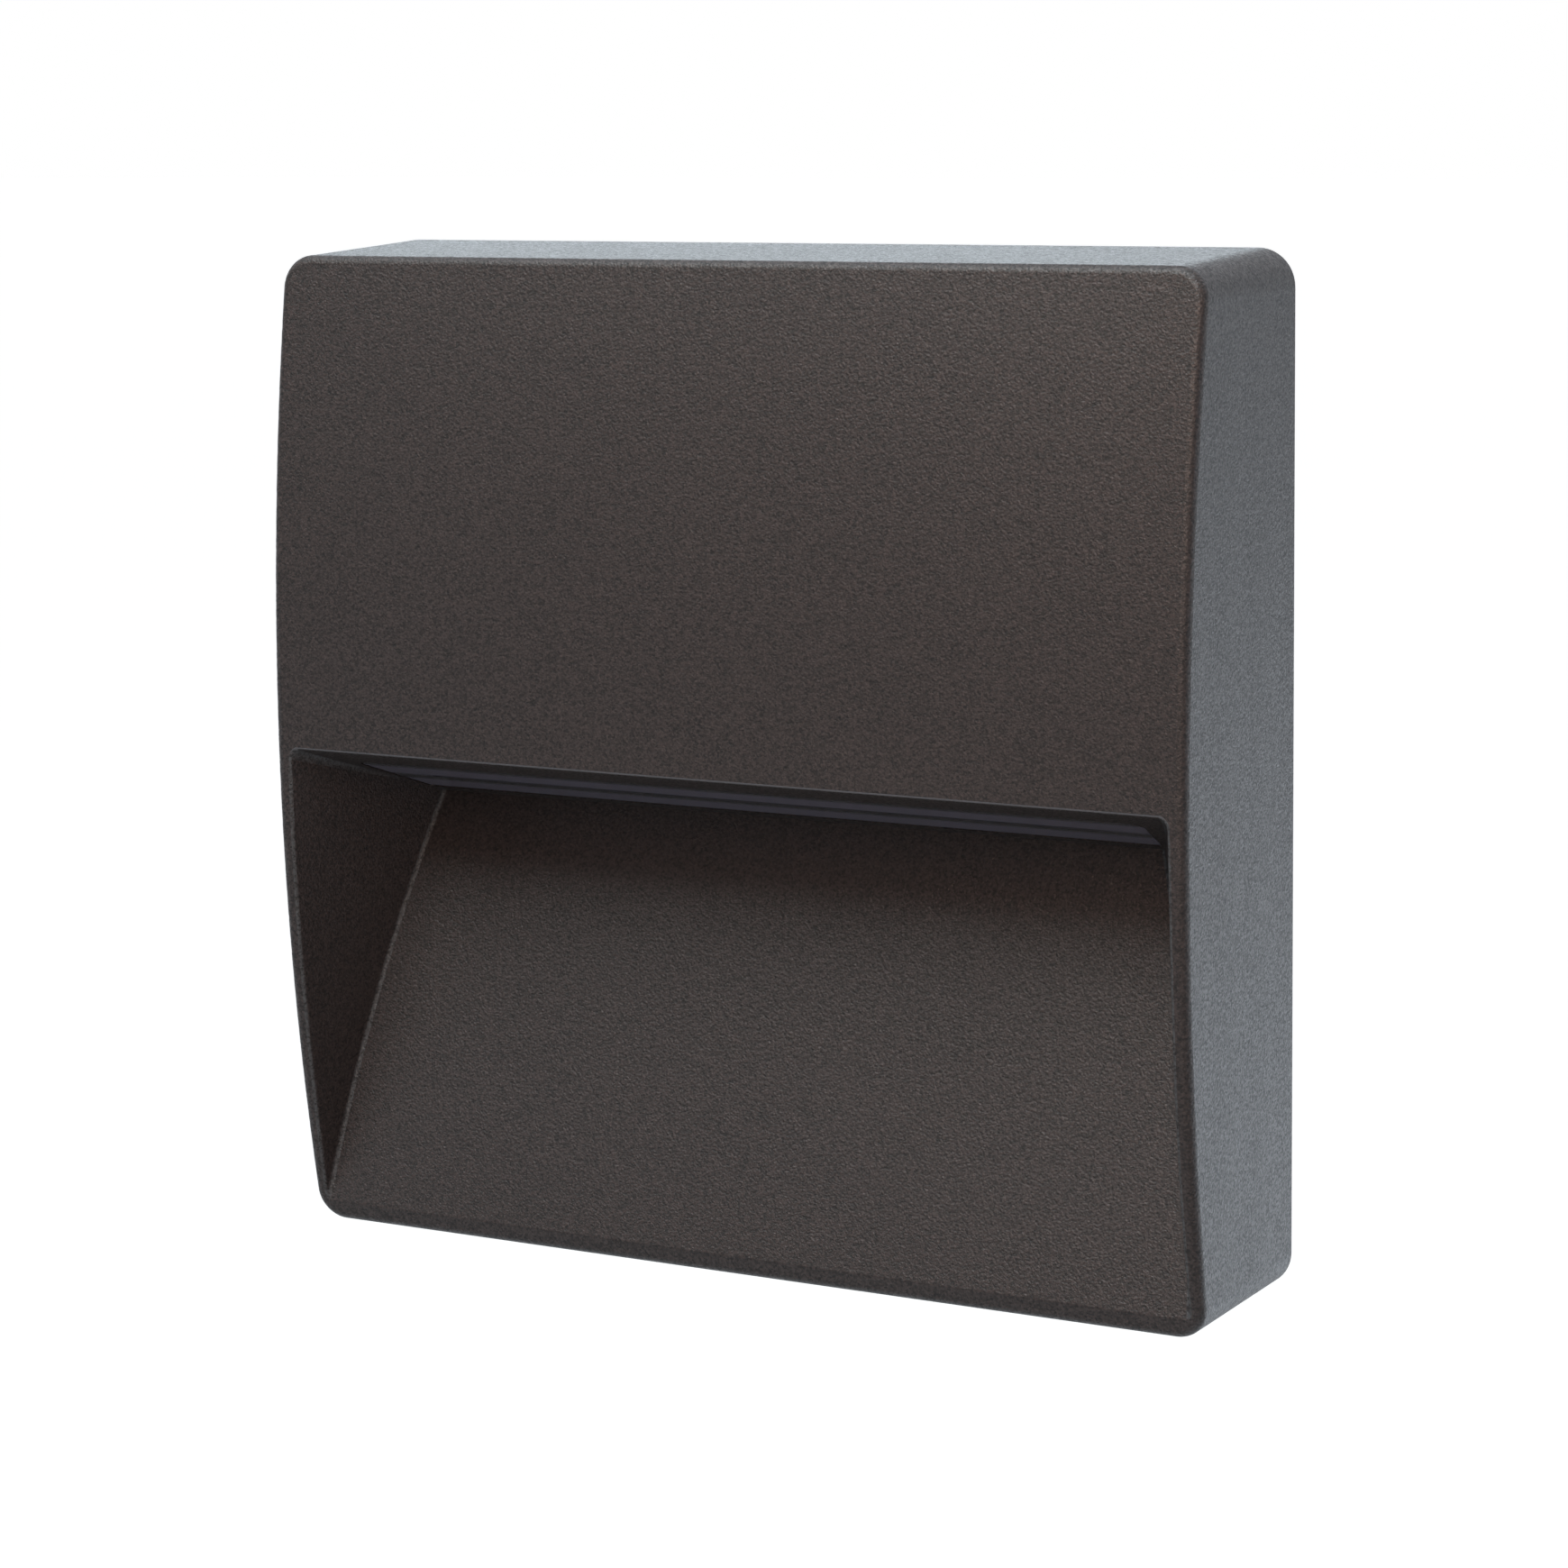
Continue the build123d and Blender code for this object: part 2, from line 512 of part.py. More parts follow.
def reflector():
    outside = on_slope(slope_outline(LENS_FLANGE_WIDTH), REFLECTOR_BASE, BOARD_BASE)
    width = LENS_REAR - LENS_FRONT
    mouth = Pos(0, LENS_MIDDLE) * Rectangle(2 * LENS_HALF_REAR, width)
    slot = Pos(0, LENS_MIDDLE) * Rectangle(2 * REFLECTOR_SLOT_HALF_LENGTH, width - 2 * REFLECTOR_SIDE_TAPER)
    funnel = loft([CEILING.offset(REFLECTOR_BASE) * mouth, CEILING.offset(BOARD_BASE) * slot], ruled=True)
    return outside - funnel


def board_outline():
    width = LENS_REAR - LENS_FRONT - 2 * BOARD_SIDE_MARGIN
    return Pos(0, LENS_MIDDLE) * Rectangle(2 * BOARD_HALF_LENGTH, width)


def connector_outline(margin=0.0):
    length = CONNECTOR_LENGTH + 2 * margin
    width = CONNECTOR_WIDTH + 2 * margin
    return Pos(CONNECTOR_X, LENS_MIDDLE) * Rectangle(length, width)


def connector_pin_x(side):
    return CONNECTOR_X + side * CONNECTOR_LENGTH / 4


def led_board():
    return on_slope(board_outline(), BOARD_BASE, PAD_BASE)


def led_chips():
    start = -(LED_COUNT - 1) / 2 * LED_PITCH
    chips = []
    for index in range(LED_COUNT):
        outline = Pos(start + index * LED_PITCH, LENS_MIDDLE) * Rectangle(LED_SIZE, LED_SIZE)
        chips.append(on_slope(outline, BOARD_BASE - LED_HEIGHT, BOARD_BASE))
    return chips


def board_connector():
    body = on_slope(connector_outline(), PAD_BASE, CONNECTOR_TOP)
    floor = PAD_BASE + CONNECTOR_FLOOR
    for side in (-1, 1):
        x = connector_pin_x(side)
        body -= rod_on_slope(x, LENS_MIDDLE, WIRE_RADIUS + WIRE_CLEARANCE, floor, CONNECTOR_TOP)
    return body


def thermal_pad():
    pad = on_slope(board_outline(), PAD_BASE, SPREADER_BASE)
    return pad - on_slope(connector_outline(CONNECTOR_WINDOW_MARGIN), PAD_BASE, SPREADER_BASE)


def heat_spreader():
    """A plate over the whole stack, with a tab at each end for its screw."""
    front = SPREADER_FRONT_SCREW_ALONG - SPREADER_EDGE
    rear = LENS_REAR + SPREADER_REAR_EDGE
    body = Pos(0, (front + rear) / 2) * Rectangle(2 * BOARD_HALF_LENGTH, rear - front)
    tabs = Pos(0, LENS_MIDDLE) * Rectangle(2 * (SPREADER_END_SCREW_X + SPREADER_EDGE), SPREADER_END_WIDTH)
    plate = on_slope(body, SPREADER_BASE, SPREADER_TOP) + on_slope(tabs, SPREADER_BASE, SPREADER_TOP)
    plate -= on_slope(connector_outline(CONNECTOR_WINDOW_MARGIN), SPREADER_BASE, SPREADER_TOP)
    hole_radius = SMALL_SCREW_RADIUS + SCREW_HOLE_CLEARANCE
    for x, along in spreader_screw_places():
        plate -= rod_on_slope(x, along, hole_radius, SPREADER_BASE, SPREADER_TOP)
    return plate


def spreader_screws():
    screws = []
    head_top = SPREADER_TOP + SMALL_SCREW_HEAD_HEIGHT
    for x, along in spreader_screw_places():
        shank = rod_on_slope(x, along, SMALL_SCREW_RADIUS, SPREADER_BASE - SMALL_SCREW_GRIP, SPREADER_TOP)
        screws.append(shank + rod_on_slope(x, along, SMALL_SCREW_HEAD_RADIUS, SPREADER_TOP, head_top))
    return screws


def screw_along_y(x, z, radius, head_radius, seat_depth):
    """A screw driven forwards into a boss, with its head's underside at the seat depth."""
    shank = rod_along_y(x, z, radius, seat_depth, BOSS_END_DEPTH + SMALL_SCREW_GRIP)
    head = rod_along_y(x, z, head_radius, seat_depth - SMALL_SCREW_HEAD_HEIGHT, seat_depth)
    return shank + head


def led_driver():
    body = block(
        (DRIVER_LEFT, DRIVER_RIGHT),
        (-BOSS_END_DEPTH, -BOSS_END_DEPTH + DRIVER_DEPTH),
        (DRIVER_Z - DRIVER_HEIGHT / 2, DRIVER_Z + DRIVER_HEIGHT / 2),
    )
    body = fillet(body.edges().filter_by(Axis.X), DRIVER_EDGE_RADIUS)
    body += block(
        (DRIVER_LEFT - DRIVER_EAR_LENGTH, DRIVER_RIGHT + DRIVER_EAR_LENGTH),
        (-BOSS_END_DEPTH, -BOSS_END_DEPTH + DRIVER_EAR_THICKNESS),
        (DRIVER_Z - DRIVER_EAR_WIDTH / 2, DRIVER_Z + DRIVER_EAR_WIDTH / 2),
    )
    for x, z in driver_ear_places():
        body -= rod_along_y(x, z, SMALL_SCREW_RADIUS + SCREW_HOLE_CLEARANCE, 0, BOSS_END_DEPTH)
    return body


def driver_screws():
    seat = BOSS_END_DEPTH - DRIVER_EAR_THICKNESS
    places = driver_ear_places()
    return [screw_along_y(x, z, SMALL_SCREW_RADIUS, SMALL_SCREW_HEAD_RADIUS, seat) for x, z in places]


def insert_block(height, clearance=0.0):
    reach = INSERT_LENGTH / 2 + clearance
    half = INSERT_SIZE / 2 + clearance
    return block(
        (TERMINAL_X - reach, TERMINAL_X + reach),
        (-INSERT_DEPTH - half, -INSERT_DEPTH + half),
        (height - half, height + half),
    )


def bar_along_x(height, radius, start, end):
    """A round bar through one pole of the terminal block."""
    plane = Plane.YZ.offset(start)
    return extrude(plane * Pos(-INSERT_DEPTH, height) * Circle(radius), end - start)


def terminal_head_depth():
    """Depth of the outer ends of all screw heads in the terminal block."""
    return BOSS_END_DEPTH - TERMINAL_DEPTH + TERMINAL_SCREW_HEAD_SINK


def terminal_block():
    body = block(
        (TERMINAL_LEFT, TERMINAL_RIGHT),
        (-BOSS_END_DEPTH, -BOSS_END_DEPTH + TERMINAL_DEPTH),
        (TERMINAL_Z - TERMINAL_HALF_HEIGHT, TERMINAL_Z + TERMINAL_HALF_HEIGHT),
    )
    body = fillet(body.edges().filter_by(Axis.Y), TERMINAL_EDGE_RADIUS)
    for height in terminal_pole_heights():
        body -= insert_block(height, INSERT_CLEARANCE)
        body -= bar_along_x(height, TERMINAL_ENTRY_RADIUS, TERMINAL_LEFT, TERMINAL_RIGHT)
    head_radius = TERMINAL_SCREW_HEAD_RADIUS + TERMINAL_SCREW_HEAD_CLEARANCE
    for x, z in terminal_screw_places():
        body -= rod_along_y(x, z, head_radius, 0, INSERT_DEPTH)
    seat = terminal_head_depth() + SMALL_SCREW_HEAD_HEIGHT
    for x, z in terminal_fixing_places():
        body -= rod_along_y(x, z, SMALL_SCREW_RADIUS + SCREW_HOLE_CLEARANCE, 0, BOSS_END_DEPTH)
        body -= rod_along_y(x, z, SMALL_SCREW_HEAD_RADIUS + SCREW_HOLE_CLEARANCE, 0, seat)
    return body


def terminal_inserts():
    inserts = []
    reach = INSERT_LENGTH / 2
    for height in terminal_pole_heights():
        insert = insert_block(height)
        insert -= bar_along_x(height, INSERT_BORE_RADIUS, TERMINAL_X - reach, TERMINAL_X + reach)
        for side in (-1, 1):
            x = TERMINAL_X + side * TERMINAL_SCREW_SPACING / 2
            insert -= rod_along_y(x, height, TERMINAL_SCREW_RADIUS + INSERT_CLEARANCE, 0, INSERT_DEPTH)
        inserts.append(insert)
    return inserts


def terminal_screws():
    rear = terminal_head_depth()
    tip = INSERT_DEPTH - WIRE_RADIUS - WIRE_CLEARANCE
    screws = []
    for x, z in terminal_screw_places():
        head = rod_along_y(x, z, TERMINAL_SCREW_HEAD_RADIUS, rear, rear + TERMINAL_SCREW_HEAD_HEIGHT)
        screws.append(head + rod_along_y(x, z, TERMINAL_SCREW_RADIUS, rear, tip))
    return screws


def terminal_block_screws():
    seat = terminal_head_depth() + SMALL_SCREW_HEAD_HEIGHT
    places = terminal_fixing_places()
    return [screw_along_y(x, z, SMALL_SCREW_RADIUS, SMALL_SCREW_HEAD_RADIUS, seat) for x, z in places]


def earth_lug():
    """A ring under the earth screw, with a barrel above it for the wire."""
    rear_depth = BOSS_END_DEPTH - EARTH_LUG_THICKNESS
    lug = rod_along_y(EARTH_X, EARTH_Z, EARTH_LUG_RADIUS, rear_depth, BOSS_END_DEPTH)
    lug += block(
        (EARTH_X - EARTH_BARREL_RADIUS, EARTH_X + EARTH_BARREL_RADIUS),
        (-BOSS_END_DEPTH, -rear_depth),
        (EARTH_Z, EARTH_BARREL_BASE + OVERLAP),
    )
    barrel = Plane.XY.offset(EARTH_BARREL_BASE) * Pos(EARTH_X, -EARTH_BARREL_DEPTH)
    lug += extrude(barrel * Circle(EARTH_BARREL_RADIUS), EARTH_BARREL_LENGTH)
    lug -= extrude(barrel * Circle(WIRE_RADIUS + WIRE_CLEARANCE), EARTH_BARREL_LENGTH)
    return lug - rod_along_y(EARTH_X, EARTH_Z, EARTH_SCREW_RADIUS + SCREW_HOLE_CLEARANCE, 0, BOSS_END_DEPTH)


def earth_screw():
    seat = BOSS_END_DEPTH - EARTH_LUG_THICKNESS
    return screw_along_y(EARTH_X, EARTH_Z, EARTH_SCREW_RADIUS, EARTH_SCREW_HEAD_RADIUS, seat)


def wire(points, bend_radius):
    """An insulated core along straight runs joined by tangent arcs."""
    path = FilletPolyline(*points, radius=bend_radius)
    start = Plane(origin=path @ 0, z_dir=path % 0)
    return sweep(start * Circle(WIRE_RADIUS), path=path)


def supply_wire(pole, driver_height):
    """A core from the driver's right end to one pole of the terminal block."""
    y = -INSERT_DEPTH
    height = terminal_pole_heights()[pole]
    third = (TERMINAL_LEFT - DRIVER_RIGHT) / 3
    points = [
        (DRIVER_RIGHT, y, driver_height),
        (DRIVER_RIGHT + third, y, driver_height),
        (TERMINAL_LEFT - third, y, height),
        (TERMINAL_LEFT + WIRE_GRIP, y, height),
    ]
    return wire(points, WIRE_BEND_RADIUS)


def earth_wire():
    """A core from the earth lug's barrel up to the lowest pole of the terminal block."""
    height = terminal_pole_heights()[0]
    points = [
        (EARTH_X, -EARTH_BARREL_DEPTH, EARTH_BARREL_TOP - WIRE_GRIP / 2),
        (EARTH_X, -EARTH_BARREL_DEPTH, height),
        ((EARTH_X + TERMINAL_LEFT) / 2, -INSERT_DEPTH, height),
        (TERMINAL_LEFT + WIRE_GRIP, -INSERT_DEPTH, height),
    ]
    return wire(points, WIRE_TIGHT_BEND_RADIUS)


def led_wire(side):
    """A core from the board's connector up beside the left wall and into the driver's left end."""
    start = CEILING * Pos(connector_pin_x(side), LENS_MIDDLE, PAD_BASE + CONNECTOR_FLOOR)
    leave = start * Pos(0, 0, CONNECTOR_TOP - PAD_BASE + LED_WIRE_RISE)
    run_x = -INNER_HALF_WIDTH + LED_WIRE_WALL_GAP + (side + 1) * LED_WIRE_SPACING / 2
    y = leave.position.Y
    height = DRIVER_Z - side * LED_WIRE_SPREAD / 2
    points = [
        start.position,
        leave.position,
        (run_x, y, (leave.position.Z + height) / 2),
        (run_x, y, height),
        (DRIVER_LEFT, y, height),
    ]
    return wire(points, WIRE_BEND_RADIUS)


def lock_screw(side):
    """A socket set screw in the underside, whose tip presses on the wall plate's flange."""
    foot = Plane.XY.offset(-HALF_HEIGHT + LOCK_SCREW_SINK) * Pos(side * LOCK_SCREW_X, -LOCK_SCREW_DEPTH)
    length = HALF_HEIGHT - LOCK_SCREW_SINK - FLANGE_HALF_HEIGHT - LOCK_SCREW_TIP_GAP
    screw = extrude(foot * Circle(LOCK_SCREW_RADIUS), length)
    screw = chamfer(screw.edges().sort_by(Axis.Z)[-1], LOCK_SCREW_TIP_CHAMFER)
    socket = RegularPolygon(LOCK_SCREW_SOCKET / 2, 6, major_radius=False)
    return screw - extrude(foot * socket, LOCK_SCREW_SOCKET_DEPTH)


def wall_plate():
    plate = inner_prism(-PLATE_EDGE_CLEARANCE, 0, PLATE_THICKNESS)
    plate += flange_prism(0, 0, FLANGE_DEPTH) - flange_prism(-FLANGE_THICKNESS, 0, FLANGE_DEPTH)
    post_end = PLATE_THICKNESS + CLAMP_POST_HEIGHT
    for x, z in clamp_post_places():
        plate += rod_along_y(x, z, CLAMP_POST_RADIUS, 0, post_end)
        plate -= rod_along_y(x, z, SMALL_SCREW_RADIUS, PLATE_THICKNESS, post_end)
    fixing_x = FLANGE_HALF_WIDTH - FIXING_INSET_X
    fixing_z = FLANGE_HALF_HEIGHT - FIXING_INSET_Z
    for x in (-fixing_x, fixing_x):
        for z in (-fixing_z, fixing_z):
            slot = Plane.XZ * Pos(x, z) * SlotOverall(FIXING_SLOT_LENGTH, FIXING_SLOT_WIDTH)
            plate -= extrude(slot, PLATE_THICKNESS)
    return plate - rod_along_y(ENTRY_X, ENTRY_Z, GROMMET_WAIST_RADIUS, 0, PLATE_THICKNESS)


def perimeter_gasket():
    front = PLATE_THICKNESS + SEAL_THICKNESS
    ring = inner_prism(-PLATE_EDGE_CLEARANCE - SEAL_SIDE_CLEARANCE, PLATE_THICKNESS, front)
    return ring - flange_prism(SEAL_SIDE_CLEARANCE, PLATE_THICKNESS, front)


def cable_grommet():
    waist = rod_along_y(ENTRY_X, ENTRY_Z, GROMMET_WAIST_RADIUS, 0, PLATE_THICKNESS)
    front = PLATE_THICKNESS + GROMMET_LIP_THICKNESS
    lip = rod_along_y(ENTRY_X, ENTRY_Z, GROMMET_LIP_RADIUS, PLATE_THICKNESS, front)
    lip = fillet(lip.edges().group_by(Axis.Y)[0], GROMMET_LIP_THICKNESS / 2)
    return waist + lip - rod_along_y(ENTRY_X, ENTRY_Z, GROMMET_BORE_RADIUS, 0, front)


def cable_clamp():
    rear = PLATE_THICKNESS + CLAMP_POST_HEIGHT
    reach = CLAMP_POST_SPACING / 2 + CLAMP_POST_RADIUS
    clamp = block(
        (ENTRY_X - reach, ENTRY_X + reach),
        (-rear - CLAMP_THICKNESS, -rear),
        (CLAMP_Z - CLAMP_WIDTH / 2, CLAMP_Z + CLAMP_WIDTH / 2),
    )
    clamp = fillet(clamp.edges().filter_by(Axis.Y), CLAMP_CORNER)
    cable = Plane.XY.offset(CLAMP_Z - CLAMP_WIDTH) * Pos(ENTRY_X, -PLATE_THICKNESS - CLAMP_CABLE_RADIUS)
    clamp -= extrude(cable * Circle(CLAMP_CABLE_RADIUS), 2 * CLAMP_WIDTH)
    for x, z in clamp_post_places():
        clamp -= rod_along_y(x, z, SMALL_SCREW_RADIUS + SCREW_HOLE_CLEARANCE, rear, rear + CLAMP_THICKNESS)
    return clamp


def clamp_screws():
    front = PLATE_THICKNESS + CLAMP_POST_HEIGHT + CLAMP_THICKNESS
    screws = []
    for x, z in clamp_post_places():
        shank = rod_along_y(x, z, SMALL_SCREW_RADIUS, PLATE_THICKNESS, front)
        head = rod_along_y(x, z, SMALL_SCREW_HEAD_RADIUS, front, front + SMALL_SCREW_HEAD_HEIGHT)
        screws.append(shank + head)
    return screws


NODES = {
    "front_housing": front_housing(),
    "lens": lens(),
    "lens_gasket": lens_gasket(),
    "reflector": reflector(),
    "led_board": led_board(),
    "led_chips": led_chips(),
    "board_connector": board_connector(),
    "thermal_pad": thermal_pad(),
    "heat_spreader": heat_spreader(),
    "spreader_screws": spreader_screws(),
    "led_driver": led_driver(),
    "driver_screws": driver_screws(),
    "terminal_block": terminal_block(),
    "terminal_inserts": terminal_inserts(),
    "terminal_screws": terminal_screws(),
    "terminal_block_screws": terminal_block_screws(),
    "earth_lug": earth_lug(),
    "earth_screw": earth_screw(),
    "live_wire": supply_wire(2, DRIVER_Z + LIVE_WIRE_RISE),
    "neutral_wire": supply_wire(1, DRIVER_Z - NEUTRAL_WIRE_DROP),
    "earth_wire": earth_wire(),
    "led_wire_positive": led_wire(-1),
    "led_wire_negative": led_wire(1),
    "lock_screw_left": lock_screw(-1),
    "lock_screw_right": lock_screw(1),
    "wall_plate": wall_plate(),
    "perimeter_gasket": perimeter_gasket(),
    "cable_grommet": cable_grommet(),
    "cable_clamp": cable_clamp(),
    "clamp_screws": clamp_screws(),
}

os.makedirs("parts", exist_ok=True)
for name, shape in NODES.items():
    if isinstance(shape, list):
        shape = Compound(children=[solid for piece in shape for solid in piece.solids()])
    export_step(shape, f"parts/{name}.step")
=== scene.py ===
import json
import math

import bmesh
import bpy
from mathutils import Matrix, Vector


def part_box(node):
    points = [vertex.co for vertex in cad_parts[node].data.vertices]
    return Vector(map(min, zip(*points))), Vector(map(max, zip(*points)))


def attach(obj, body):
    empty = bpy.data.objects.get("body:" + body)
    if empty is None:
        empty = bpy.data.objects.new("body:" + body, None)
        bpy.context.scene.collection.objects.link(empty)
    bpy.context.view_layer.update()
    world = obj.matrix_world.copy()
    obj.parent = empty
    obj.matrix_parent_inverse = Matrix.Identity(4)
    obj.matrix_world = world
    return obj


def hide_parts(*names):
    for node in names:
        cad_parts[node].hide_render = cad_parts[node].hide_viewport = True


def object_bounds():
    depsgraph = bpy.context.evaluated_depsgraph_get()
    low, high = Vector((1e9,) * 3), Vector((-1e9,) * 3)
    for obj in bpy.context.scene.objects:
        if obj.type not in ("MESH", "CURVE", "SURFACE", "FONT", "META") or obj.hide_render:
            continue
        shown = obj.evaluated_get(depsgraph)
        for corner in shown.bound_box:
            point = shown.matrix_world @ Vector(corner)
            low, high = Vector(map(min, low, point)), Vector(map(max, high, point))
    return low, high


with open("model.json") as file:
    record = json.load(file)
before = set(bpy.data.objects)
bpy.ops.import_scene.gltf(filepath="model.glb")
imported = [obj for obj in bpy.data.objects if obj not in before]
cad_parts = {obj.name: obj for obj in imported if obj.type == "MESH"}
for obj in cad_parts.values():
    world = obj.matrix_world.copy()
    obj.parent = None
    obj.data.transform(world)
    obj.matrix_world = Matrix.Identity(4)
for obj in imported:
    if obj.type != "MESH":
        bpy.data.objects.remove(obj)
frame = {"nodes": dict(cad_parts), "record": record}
cad_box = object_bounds()

# Units and common ranges
MILLIMETRE = 0.001
RISING = (0.0, 1.0)
FALLING = (1.0, 0.0)
WHITE = (1.0, 1.0, 1.0)

# Camera: where it stands and how it is turned, in metres and degrees
CAMERA_EYE = Vector((0.4157, -0.7896, 0.1567))
CAMERA_AZIMUTH = 28.366
CAMERA_ELEVATION = 10.488
CAMERA_ROLL = 1.085
SENSOR_MM = 36.0
IMAGE_SIDE_PX = 1740
FOCAL_PX = 4557.2

# Studio: a pale floor well below the light, bright surroundings behind it and dim ones on the viewer's side
FLOOR_DROP = 0.6
FLOOR_SIZE = 40.0
FLOOR_COLOUR = (0.50, 0.50, 0.50)
FLOOR_ROUGHNESS = 0.9
FLOOR_GLOW = 0.95
WORLD_BACK = 0.85
WORLD_FRONT = 0.05
WORLD_TINT = (0.86, 0.93, 1.0)
DIFFUSE_SHARE = 0.1
WORLD_RAMP = (-0.3, 0.3)
FLOOR_RAMP = (-0.6, 0.6)

# Lamps: azimuth and elevation in degrees seen from the light, distance and size in metres, power in watts
LAMPS = {
    "wide_softbox": dict(
        azimuth=-15, elevation=59, distance=2.0, size=1.5, power=34.0, colour=(0.80, 0.93, 1.0),
    ),
    "key_softbox": dict(
        azimuth=-20, elevation=50, distance=1.0, size=0.5, power=1.3, colour=(1.0, 0.80, 0.55),
    ),
    "low_softbox": dict(
        azimuth=22, elevation=22, distance=0.7, size=0.3, power=1.0, colour=(1.0, 0.74, 0.60),
    ),
    "left_card": dict(
        azimuth=-60, elevation=0, distance=1.0, size=0.4, power=0.2, colour=(0.60, 0.85, 1.0),
    ),
    "rim_softbox": dict(
        azimuth=-152, elevation=12, distance=1.2, size=0.6, power=2.9, colour=(0.80, 0.93, 1.0),
    ),
    "side_softbox": dict(
        azimuth=152, elevation=-22, distance=1.2, size=0.6, power=1.7, colour=(0.80, 0.90, 1.0),
    ),
}

# Noise: how rough its finer layers are, and the values that it mostly takes
NOISE_ROUGHNESS = 0.55
NOISE_SPAN = (0.3, 0.7)

# Powder coat: its grains, the depth of its relief, and how far the grains differ in tone and gloss
PEBBLE_GRAIN = 0.7 * MILLIMETRE
PEBBLE_SMOOTHNESS = 0.6
PEBBLE_REACH = 0.8
PEBBLE_SHARE = 0.4
FINE_GRAIN = 0.42 * MILLIMETRE
GLINT_GRAIN = 0.45 * MILLIMETRE
GLINT_SHARE = 0.6
COAT_DEPTH = 0.14 * MILLIMETRE
COAT_HEIGHTS = (0.45, 1.05)
COAT_TONES = (0.15, 1.85)
COAT_ROUGHNESS = (0.56, 0.36)
COAT_SPECULAR = 0.75

# Edges of the recess, where highlights are painted into the coat's colour: their painted tones,
# how far those edges turn from the front, the lip's heights, and the depths where the edges end
PAINTED_EDGE_HIGHLIGHT = (0.115, 0.115, 0.12)
PAINTED_LIP_HIGHLIGHT = (0.17, 0.165, 0.18)
FLANK_TURN = dict(low=0.2, high=0.8, soft=0.08)
LIP_TURN = dict(low=0.2, high=0.6, soft=0.06)
LIP_STRAIGHT = dict(low=-0.2, high=0.2, soft=0.1)
LIP_HEIGHTS = dict(low=-2.0 * MILLIMETRE, high=3.0 * MILLIMETRE, soft=MILLIMETRE)
RECESS_REACH = (-17 * MILLIMETRE, -15 * MILLIMETRE)

# Lens: its frosting, a painted reflection as a lighter band on each side of its groove, and painted shade
# along the groove
FROST_GRAIN = 0.25 * MILLIMETRE
FROST_DEPTH = 0.01 * MILLIMETRE
FROST_STRENGTH = 0.4
LENS_GROOVE_SHADE = 0.45
LENS_REFLECTION_BAND = (0.31, 0.28, 0.35)
LENS_REFLECTION_SPACING = 6.0 * MILLIMETRE
LENS_REFLECTION_EDGE = (0.5 * MILLIMETRE, 3.5 * MILLIMETRE)
LENS_ROUGHNESS = (0.16, 0.24)

# Earth wire: its two colours, its stripes and its sheen
EARTH_GREEN = (0.05, 0.30, 0.03)
EARTH_YELLOW = (0.75, 0.62, 0.03)
STRIPE_WIDTH = 2.2 * MILLIMETRE
STRIPE_EDGE = (1.0 * MILLIMETRE, 1.2 * MILLIMETRE)
SHEEN_GRAIN = 2 * MILLIMETRE
SHEEN_ROUGHNESS = (0.28, 0.4)

# Other finishes by material slot, with grain and depth in millimetres, and what they share
FINISHES = {
    "grey_silicone": dict(roughness=0.6, grain=0.6, depth=0.02),
    "white_reflector": dict(roughness=0.25, grain=1.5, depth=0.005, spread=0.03),
    "white_board": dict(roughness=0.35, grain=0.4, depth=0.005, spread=0.04),
    "phosphor": dict(roughness=0.3, grain=0.4, depth=0.01, spread=0.12),
    "white_nylon": dict(roughness=0.45, grain=0.5, depth=0.01, spread=0.05),
    "thermal_pad": dict(roughness=0.7, grain=0.4, depth=0.02),
    "bare_aluminium": dict(roughness=0.34, grain=0.5, depth=0.01, metallic=1.0, stretch=(0.03, 1.0, 1.0)),
    "cast_aluminium": dict(roughness=0.5, grain=0.5, depth=0.04, metallic=1.0),
    "stainless_steel": dict(roughness=0.28, grain=0.3, depth=0.005, metallic=1.0),
    "dark_steel": dict(roughness=0.4, grain=0.3, depth=0.005, metallic=1.0, spread=0.2),
    "driver_case": dict(roughness=0.5, grain=0.6, depth=0.03, spread=0.05),
    "brass": dict(roughness=0.25, grain=0.3, depth=0.005, metallic=1.0),
    "tinned_copper": dict(roughness=0.3, grain=0.3, depth=0.008, metallic=1.0),
    "brown_pvc": dict(roughness=0.35, grain=0.6, depth=0.01),
    "blue_pvc": dict(roughness=0.35, grain=0.6, depth=0.01),
    "red_pvc": dict(roughness=0.35, grain=0.6, depth=0.01),
    "black_pvc": dict(roughness=0.35, grain=0.6, depth=0.01, spread=0.2),
    "black_rubber": dict(roughness=0.65, grain=0.5, depth=0.03, spread=0.2),
    "black_nylon": dict(roughness=0.5, grain=0.5, depth=0.02, spread=0.2),
}
MOTTLE_DETAIL = 3.0
MOTTLE_BREADTH = 12
MOTTLE_STRENGTH = 0.5
GLOSS_SPREAD = 0.06

# Screws: the body that each group rides on, the way that its heads face, and its drive
CEILING_SLOPE = math.radians(21.4)
OFF_CEILING = (0.0, math.sin(CEILING_SLOPE), math.cos(CEILING_SLOPE))
TO_WALL = (0.0, 1.0, 0.0)
FROM_WALL = (0.0, -1.0, 0.0)
SCREWS = {
    "driver_screws": dict(body="housing", facing=TO_WALL, drive="cross"),
    "terminal_block_screws": dict(body="housing", facing=TO_WALL, drive="cross"),
    "terminal_screws": dict(body="housing", facing=TO_WALL, drive="slot"),
    "earth_screw": dict(body="housing", facing=TO_WALL, drive="cross"),
    "spreader_screws": dict(body="housing", facing=OFF_CEILING, drive="cross"),
    "clamp_screws": dict(body="mounting_plate", facing=FROM_WALL, drive="cross"),
}
SCREW_SIDES = 32
SCREW_HEAD_HEIGHT = 2.0 * MILLIMETRE
